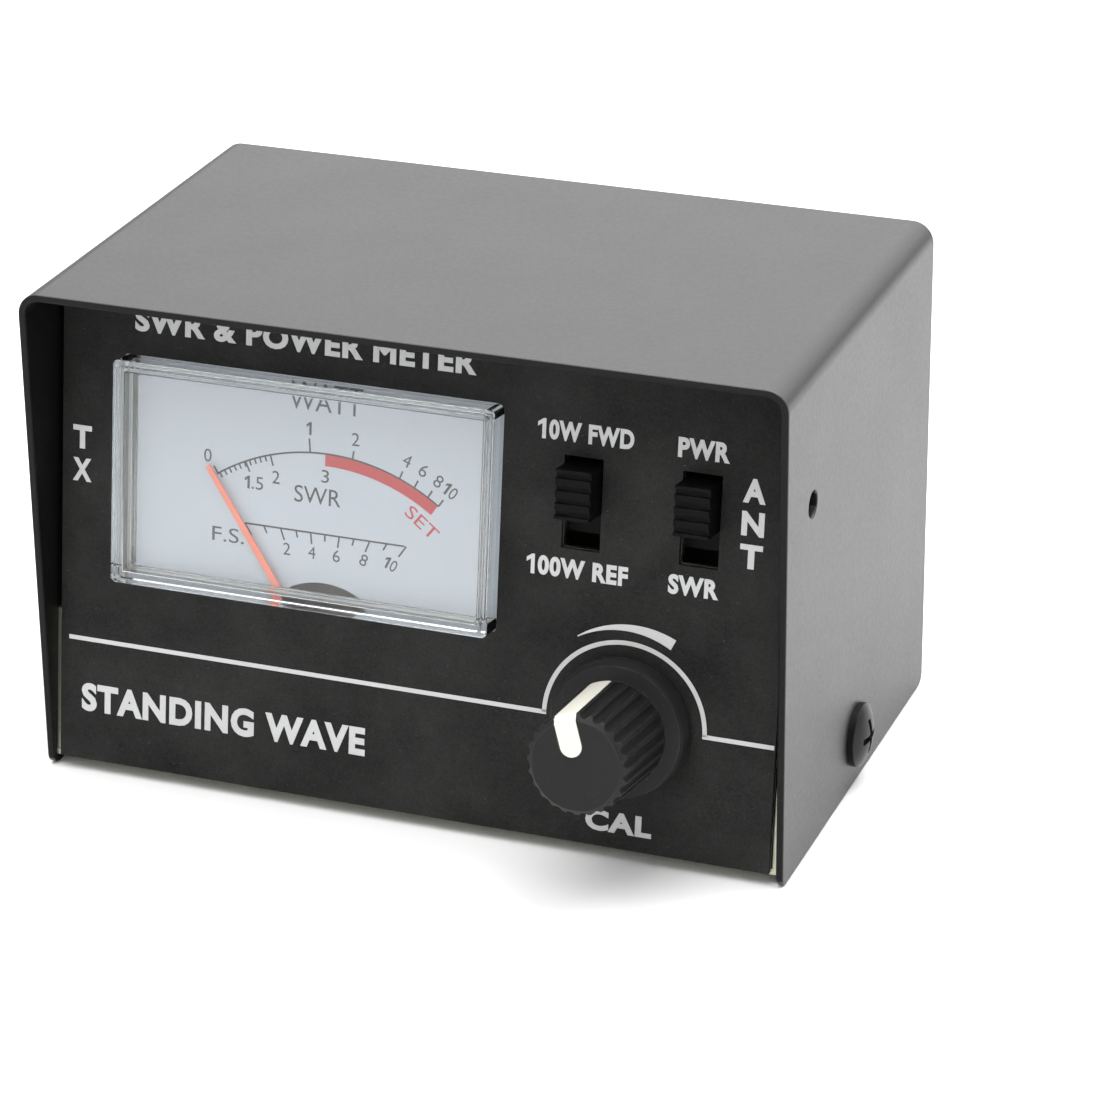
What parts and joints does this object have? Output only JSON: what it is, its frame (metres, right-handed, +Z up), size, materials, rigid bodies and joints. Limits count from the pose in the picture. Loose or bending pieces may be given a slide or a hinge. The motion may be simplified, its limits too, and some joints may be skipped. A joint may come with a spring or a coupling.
{
  "type": "standing wave and power meter",
  "caption": "Tabletop standing wave ratio and power meter: folded case, slanted panel, moving-coil meter, two slide switches, calibration knob and two rear coaxial sockets",
  "frame": {"origin": "centre of the whole meter's footprint, on the surface it stands on", "axes": "+X to the right seen from the front, +Y to the rear where the sockets point, +Z up"},
  "size_m": [0.109, 0.0962, 0.0686],
  "materials": {
    "cover_paint": "satin black powder coat with a fine orange peel",
    "panel_print": "matt black fine-grained coating with pale grey print",
    "plated_steel": "zinc plate with a faint yellow passivation",
    "black_screw": "gloss black oxide",
    "clear_plastic": "clear moulded styrene",
    "housing_plastic": "off-white moulded plastic",
    "dial_face": "painted white with printed scales",
    "magnet": "ground magnet alloy",
    "soft_iron": "plain soft iron",
    "brass_part": "machined brass",
    "light_alloy": "bright sheet aluminium",
    "copper_coil": "enamelled copper winding",
    "needle_paint": "coral paint",
    "spring_bronze": "phosphor bronze strip",
    "black_plastic": "matt black moulding",
    "knob_plastic": "satin black moulding, worn lighter at the rim",
    "ivory_plastic": "ivory inlay",
    "phenolic": "brown paper laminate",
    "contact_silver": "silver-plated brass",
    "nickel": "nickel plate",
    "insulator": "white fluoropolymer",
    "circuit_laminate": "paper laminate board with green mask",
    "copper_strip": "tinned copper",
    "component_body": "glass and ceramic component bodies"
  },
  "bodies": {
    "root": {"cover": "cover_paint", "chassis": "plated_steel", "front_panel": "panel_print", "cover_screws": "black_screw", "meter_housing": "housing_plastic", "meter_window": "clear_plastic", "scale_plate": "dial_face", "scale_plate_screws": "nickel", "core_magnet": "magnet", "core_spacers": "brass_part", "yoke_ring": "soft_iron", "movement_frame": "light_alloy", "movement_screws": "nickel", "front_bridge": "light_alloy", "jewel_screws": "brass_part", "meter_studs": "brass_part", "meter_stud_nuts": "nickel", "meter_bracket": "plated_steel", "bracket_screws": "nickel", "bracket_nuts": "nickel", "range_switch_frame": "plated_steel", "range_switch_base": "phenolic", "range_switch_terminals": "contact_silver", "function_switch_frame": "plated_steel", "function_switch_base": "phenolic", "function_switch_terminals": "contact_silver", "switch_screws": "nickel", "pot_bushing": "nickel", "pot_element": "phenolic", "pot_terminals": "contact_silver", "pot_can": "plated_steel", "pot_washer": "nickel", "pot_nut": "nickel", "tx_socket_shell": "nickel", "tx_socket_insulator": "insulator", "tx_socket_contact": "contact_silver", "ant_socket_shell": "nickel", "ant_socket_insulator": "insulator", "ant_socket_contact": "contact_silver", "socket_screws": "nickel", "socket_nuts": "nickel", "board_spacers": "nickel", "circuit_board": "circuit_laminate", "line_strips": "copper_strip", "board_components": "component_body"},
    "needle_assembly": {"needle": "needle_paint", "needle_counterweight": "brass_part", "coil_former": "light_alloy", "moving_coil": "copper_coil", "pivot_pins": "soft_iron", "front_hairspring": "spring_bronze", "rear_hairspring": "spring_bronze"},
    "range_switch": {"range_switch_actuator": "black_plastic", "range_switch_contacts": "spring_bronze"},
    "function_switch": {"function_switch_actuator": "black_plastic", "function_switch_contacts": "spring_bronze"},
    "calibration_knob": {"knob": "knob_plastic", "knob_pointer": "ivory_plastic", "pot_shaft": "light_alloy", "pot_wiper": "spring_bronze"}
  },
  "joints": [
    {"name": "needle_swing", "type": "hinge", "parent": "root", "child": "needle_assembly", "pos_m": [-0.0134, -0.01485, 0.01813], "axis": [0, 0.9893, -0.1461], "range_deg": [-1.5, 71], "stiffness_Nm_per_rad": 0.0005},
    {"name": "range_switch_slide", "type": "slide", "parent": "root", "child": "range_switch", "axis": [0, -0.1461, -0.9893], "range_m": [0, 0.004]},
    {"name": "function_switch_slide", "type": "slide", "parent": "root", "child": "function_switch", "axis": [0, -0.1461, -0.9893], "range_m": [0, 0.004]},
    {"name": "knob_turn", "type": "hinge", "parent": "root", "child": "calibration_knob", "pos_m": [0.03, -0.03832, 0.02003], "axis": [0, 0.9893, -0.1461], "range_deg": [-133, 167]}
  ]
}
